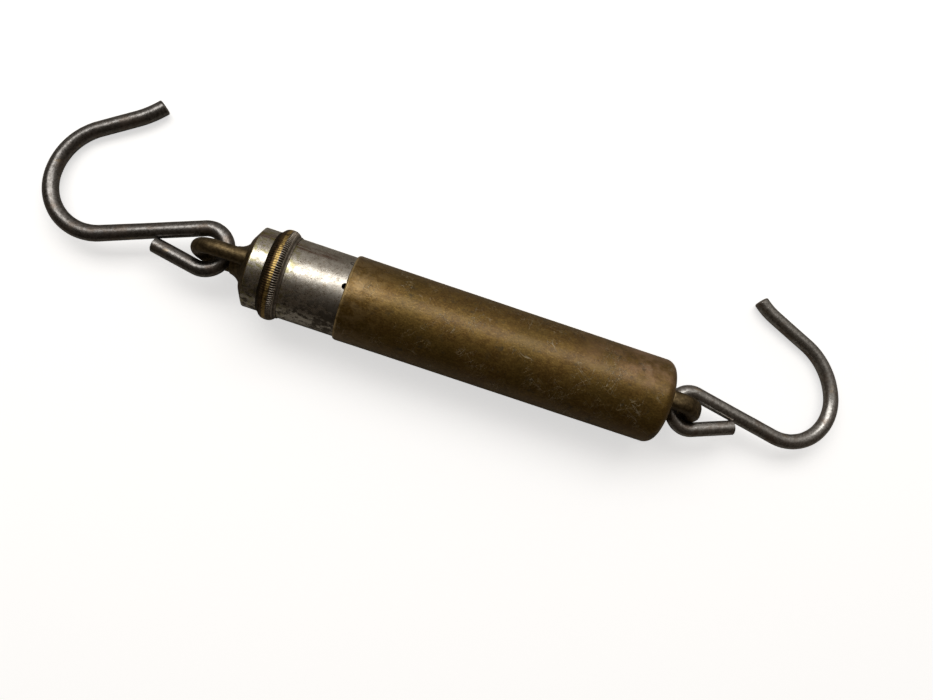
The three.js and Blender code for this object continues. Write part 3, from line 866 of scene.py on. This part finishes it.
def upper_eye_plug():
    neck_x = UPPER_EYE_CROWN_X + 12.55 * MM
    bell = [(neck_x, 0.0), (neck_x, NECK_R - 0.6 * MM)]
    flare_r = 4.6 * MM
    for angle in along(math.radians(-84), math.radians(-7), 12):
        bell.append((neck_x + flare_r * math.cos(angle), NECK_R + flare_r * (1 + math.sin(angle))))
    bell += [
        (BAND_LEFT_X - 0.35 * MM, BAND_R - 0.65 * MM),
        (BAND_LEFT_X - 0.03 * MM, BAND_R - 0.2 * MM),
        (BAND_LEFT_X, BAND_R - 0.75 * MM),
        (BAND_RIGHT_X, BAND_R - 0.75 * MM),
        (BAND_RIGHT_X, 0.0),
    ]
    bm = bmesh.new()
    lathe_into(bm, bell, 120)
    leg = BAND_LEFT_X - 0.5 * MM - (UPPER_EYE_CROWN_X + 9.35 * MM)
    sweep_into(bm, arch_stations(UPPER_EYE_CROWN_X, -1, UPPER_EYE_R, leg, ROLL, EYE_BAR_R), 28)
    obj = cast_object("upper_eye_casting", bm)
    dress(obj, "head", "cast_brass", CAST_BRASS, "upper_eye_plug")
    core = SPIGOT_R - 2.6 * MM
    start_x = BAND_RIGHT_X - 0.3 * MM
    groove_x = RING_LEFT_X + 1.6 * MM
    groove_end_x = RING_LEFT_X + 2.4 * MM
    groove_r = SPIGOT_R - 0.85 * MM
    spigot = lathe("upper_spigot", rounded([
        (start_x, core, 0),
        (start_x, SPIGOT_R, 0),
        (groove_x, SPIGOT_R, 0),
        (groove_x, groove_r, 0),
        (groove_end_x, groove_r, 0),
        (groove_end_x, SPIGOT_R, 0),
        (SPIGOT_END_X, SPIGOT_R, 0.3 * MM),
        (SPIGOT_END_X, core, 0),
    ]), 96)
    return dress(spigot, "head", "cast_brass", TURNED_BRASS)


# ---------- lower end ----------
def lower_eye_plug():
    boss_x = END_X + 0.55 * MM
    boss_r = END_HOLE_R - 0.1 * MM
    outline = [
        (LOWER_DISC_X, 0.0),
        (LOWER_DISC_X, OUTER_BORE_R - 0.05 * MM),
        (END_X - END_ROUND_R, OUTER_BORE_R - 0.05 * MM),
        (END_X - END_WALL - 0.1 * MM, OUTER_R - END_ROUND_R - 0.3 * MM),
        (END_X - END_WALL - 0.1 * MM, boss_r),
        (END_X, boss_r),
        (boss_x, boss_r - 0.9 * MM),
        (boss_x + 0.35 * MM, boss_r - 3.4 * MM),
        (boss_x + 0.35 * MM, 0.0),
    ]
    bm = bmesh.new()
    lathe_into(bm, outline, 120)
    leg = LOWER_EYE_CROWN_X - 9.2 * MM - (END_X + 0.1 * MM)
    arch = arch_stations(
        LOWER_EYE_CROWN_X, 1, LOWER_EYE_R, leg, LOWER_EYE_ROLL, LOWER_EYE_HALF_ACROSS
    )
    sweep_into(bm, arch, 32, 3.0)
    obj = cast_object("lower_eye_casting", bm)
    return dress(obj, "outer_tube_body", "cast_brass", CAST_BRASS, "lower_eye_plug")


# ---------- hooks ----------
UPPER_HOOK = {
    "wire": 2.35,
    "bight": 6.15,
    "tail_heading": -10.5,
    "shank_heading": 200.7,
    "tail": 14.2,
    "bends": [(31.2, 0), (15.1, -106.6), (18.7, -60.3), (11.2, 0), (31, 17.4)],
    "crown": 0.56,
    "seed": 3.0,
}
LOWER_HOOK = {
    "wire": 2.2,
    "bight": 5.6,
    "tail_heading": 200.9,
    "shank_heading": -9.7,
    "tail": 13.4,
    "bends": [(27.1, 0), (13.9, 117), (20.7, 50.3), (13.2, 0), (21.4, -17.6)],
    "crown": 0.60,
    "seed": 11.0,
}


def hook(name, spec, body, node, material):
    """Bent wire round the bight's centre. A bend is (length, 0) or (radius, degrees)."""
    swing = joint(name + "_swing")
    turn = math.radians(spec["shank_heading"] - spec["tail_heading"])
    heading = math.radians(spec["tail_heading"])
    side = math.copysign(1, turn)
    bight = spec["bight"] * MM
    tail = spec["tail"] * MM
    x = side * bight * math.sin(heading) - tail * math.cos(heading)
    y = -side * bight * math.cos(heading) - tail * math.sin(heading)
    bends = [(tail, 0.0), (bight * abs(turn), turn)]
    for size, degrees in spec["bends"]:
        angle = math.radians(degrees)
        bends.append((size * MM * abs(angle) if degrees else size * MM, angle))
    path = bent_path(x, y, heading, bends, 0.3 * MM)
    normal = Vector(swing["axis"]).normalized()
    lay = Vector((0, 0, 1)).rotation_difference(normal).to_matrix()
    pivot = Vector(swing["pos_m"])
    wire = spec["wire"] * MM
    count = len(path) - 1
    stations = []
    for i, (point, direction) in enumerate(path):
        t = i / count
        # the wire flattens where it is bent over the crown and swells a little at each bend
        flat = 0.07 * math.exp(-(((t - spec["crown"]) / 0.10) ** 2))
        wobble = noise.noise(Vector((t * 14, spec["seed"], 0)))
        width = wire * (1 + flat + 0.012 * wobble)
        height = wire * (1 - flat * 0.8 - 0.012 * wobble)
        drift = 0.05 * MM * noise.noise(Vector((t * 6, 0, spec["seed"])))
        across = Vector((-math.sin(direction), math.cos(direction), 0))
        centre = lay @ (point + across * drift) + pivot
        stations.append((centre, lay @ across, normal, width, height))
    chamfer = 0.55 * MM
    for end, inner in ((0, 1), (-1, -2)):
        centre, across, up, width, height = stations[end]
        step = (centre - stations[inner][0]).normalized()
        soft = [
            (centre + step * (chamfer * d), across, up, width - chamfer * c, height - chamfer * c)
            for d, c in ((0.0, 0.0), (0.5, 0.13), (0.87, 0.5), (1.0, 1.0))
        ]
        trimmed = [(c - step * chamfer, a, u, w, h) for c, a, u, w, h in soft]
        if end == 0:
            stations = trimmed[::-1] + stations[1:]
        else:
            stations = stations[:-1] + trimmed
    bm = bmesh.new()
    sweep_into(bm, stations, 32)
    for vertex in bm.verts:
        spot = vertex.co / MM
        shift = 0.02 * noise.noise(spot * 0.9) + 0.012 * noise.noise(spot * 2.3)
        vertex.co += noise.noise_vector(spot * 0.5) * (0.012 * MM) + normal * (shift * MM * 0.5)
    obj = finish_mesh(name + "_wire", bm, crease=50)
    return dress(obj, body, "dark_steel", material, node)


# ---------- main spring ----------
def main_spring():
    """A fine close-wound coil."""
    low, high = corners("main_spring")
    wire = 0.88 * MM
    mean = 7.0 * MM
    turns = 46
    start_x = low.x + wire
    pitch = (high.x - low.x - 2 * wire) / turns
    per_turn = 20
    bm = bmesh.new()
    stations = []
    for i in range(turns * per_turn + 1):
        angle = 2 * math.pi * i / per_turn
        ray = Vector((0, math.sin(angle + ROLL), math.cos(angle + ROLL)))
        centre = Vector((start_x + pitch * i / per_turn, AXIS_Y, AXIS_Z)) + ray * mean
        stations.append((centre, ray, Vector((1, 0, 0)), wire, wire))
    sweep_into(bm, stations, 10)
    obj = finish_mesh("main_spring_coil", bm)
    obj.data.materials.append(OILED_STEEL)
    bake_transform(obj)
    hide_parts("main_spring")
    return obj


# ---------- pieces kept from the CAD ----------
def dress_inner_pieces():
    finishes = {
        TURNED_BRASS: (
            "upper_spring_plug",
            "threaded_collar",
            "inner_tube_foot",
            "lower_spring_plug",
            "guide_key",
        ),
        OILED_STEEL: ("ring_retainer", "trim_key", "lower_plug_pin", "drawbar"),
    }
    for material, names in finishes.items():
        for name in names:
            obj = frame["nodes"][name]
            for material_slot in obj.material_slots:
                material_slot.material = material


outer_tube()
inner_tube()
graduations()
figures()
cap_band()
zero_ring()
upper_eye_plug()
lower_eye_plug()
hook("upper_hook", UPPER_HOOK, "upper_hook_body", "upper_hook", DULL_STEEL)
hook("lower_hook", LOWER_HOOK, "lower_hook_body", "lower_hook", BROWNED_STEEL)
main_spring()
dress_inner_pieces()


# ---------- floor, light and camera ----------
TUBE_SLOPE = math.radians(18.45)  # how far the tube is turned in the picture
OBJECT_CENTRE = Vector((0, AXIS_Y, AXIS_Z))


def floor():
    bm = bmesh.new()
    bmesh.ops.create_grid(bm, x_segments=1, y_segments=1, size=1.5)
    obj = finish_mesh("floor", bm)
    material = bpy.data.materials.new("pale_floor")
    material.use_nodes = True
    tree = material.node_tree
    shader = tree.nodes["Principled BSDF"]
    shader.inputs["Roughness"].default_value = 0.9
    shader.inputs["Specular IOR Level"].default_value = 0.1
    # the metal sees a greyer table than the picture shows
    path = tree.nodes.new("ShaderNodeLightPath")
    tone = tree.nodes.new("ShaderNodeMix")
    tone.data_type = "RGBA"
    tree.links.new(path.outputs["Is Camera Ray"], tone.inputs[0])
    tone.inputs[6].default_value = (0.30, 0.28, 0.25, 1)
    tone.inputs[7].default_value = (0.88, 0.88, 0.88, 1)
    tree.links.new(tone.outputs[2], shader.inputs["Base Color"])
    shader.inputs["Emission Color"].default_value = (1, 1, 1, 1)
    glow = tree.nodes.new("ShaderNodeMath")
    glow.operation = "MULTIPLY"
    tree.links.new(path.outputs["Is Camera Ray"], glow.inputs[0])
    glow.inputs[1].default_value = 0.62
    tree.links.new(glow.outputs[0], shader.inputs["Emission Strength"])
    obj.data.materials.append(material)


def area_light(name, location, width, depth, power, color):
    """A panel facing the tube, its long side level with the picture."""
    light = bpy.data.lights.new(name, "AREA")
    light.shape = "RECTANGLE"
    light.size = width
    light.size_y = depth
    light.energy = power
    light.color = color
    obj = bpy.data.objects.new(name, light)
    bpy.context.scene.collection.objects.link(obj)
    facing = (location - OBJECT_CENTRE).normalized()
    across = Vector((math.cos(TUBE_SLOPE), math.sin(TUBE_SLOPE), 0))
    across = (across - facing * across.dot(facing)).normalized()
    turn = Matrix((across, facing.cross(across), facing)).transposed().to_4x4()
    obj.matrix_world = Matrix.Translation(location) @ turn
    return obj


def surroundings():
    """A dim warm room, lighter towards the window side (+Y)."""
    world = bpy.data.worlds.new("room")
    bpy.context.scene.world = world
    world.use_nodes = True
    tree = world.node_tree
    background = tree.nodes["Background"]
    coords = tree.nodes.new("ShaderNodeTexCoord")
    parts = tree.nodes.new("ShaderNodeSeparateXYZ")
    tree.links.new(coords.outputs["Generated"], parts.inputs[0])
    ramp = tree.nodes.new("ShaderNodeValToRGB")
    shift = tree.nodes.new("ShaderNodeMapRange")
    shift.inputs["From Min"].default_value = -1
    tree.links.new(parts.outputs["Y"], shift.inputs["Value"])
    tree.links.new(shift.outputs["Result"], ramp.inputs["Fac"])
    ramp.color_ramp.elements[0].position = 0.05
    ramp.color_ramp.elements[0].color = (0.030, 0.022, 0.015, 1)
    ramp.color_ramp.elements[1].position = 1.0
    ramp.color_ramp.elements[1].color = (0.34, 0.31, 0.28, 1)
    middle = ramp.color_ramp.elements.new(0.55)
    middle.color = (0.075, 0.060, 0.045, 1)
    tree.links.new(ramp.outputs["Color"], background.inputs["Color"])


FOCAL = 35.0  # millimetres, on a 36 mm wide sensor
CAMERA_HEIGHT = 265 * MM  # above the tube's axis
CAMERA_BACK = 12.5 * MM  # the camera stands this far towards the hanging end of what it looks at
LOOK_AT_X = MOUTH_X + 38.1 * MM
LOOK_AT_Y = AXIS_Y - 3.48 * MM


def camera():
    data = bpy.data.cameras.new("camera")
    data.lens = FOCAL
    data.sensor_width = 36.0
    data.clip_start = 0.01
    data.clip_end = 10.0
    obj = bpy.data.objects.new("camera", data)
    bpy.context.scene.collection.objects.link(obj)
    target = Vector((LOOK_AT_X, LOOK_AT_Y, AXIS_Z))
    place = Vector((LOOK_AT_X - CAMERA_BACK, LOOK_AT_Y, AXIS_Z + CAMERA_HEIGHT))
    back = (place - target).normalized()
    level = Vector((0, 1, 0))
    tube_way = level.cross(back).normalized()
    right = tube_way * math.cos(TUBE_SLOPE) + level * math.sin(TUBE_SLOPE)
    up = back.cross(right)
    turn = Matrix((right, up, back)).transposed().to_4x4()
    obj.matrix_world = Matrix.Translation(place) @ turn
    bpy.context.scene.camera = obj


floor()
surroundings()
area_light("window", Vector((-0.14, 0.36, 0.59)), 0.85, 0.33, 2.4, (1.0, 0.985, 0.96))
area_light("bright_wall", Vector((-0.05, 0.40, 0.62)), 1.6, 0.9, 0.95, (1.0, 0.95, 0.88))
camera()
bpy.context.scene.view_settings.view_transform = "Standard"
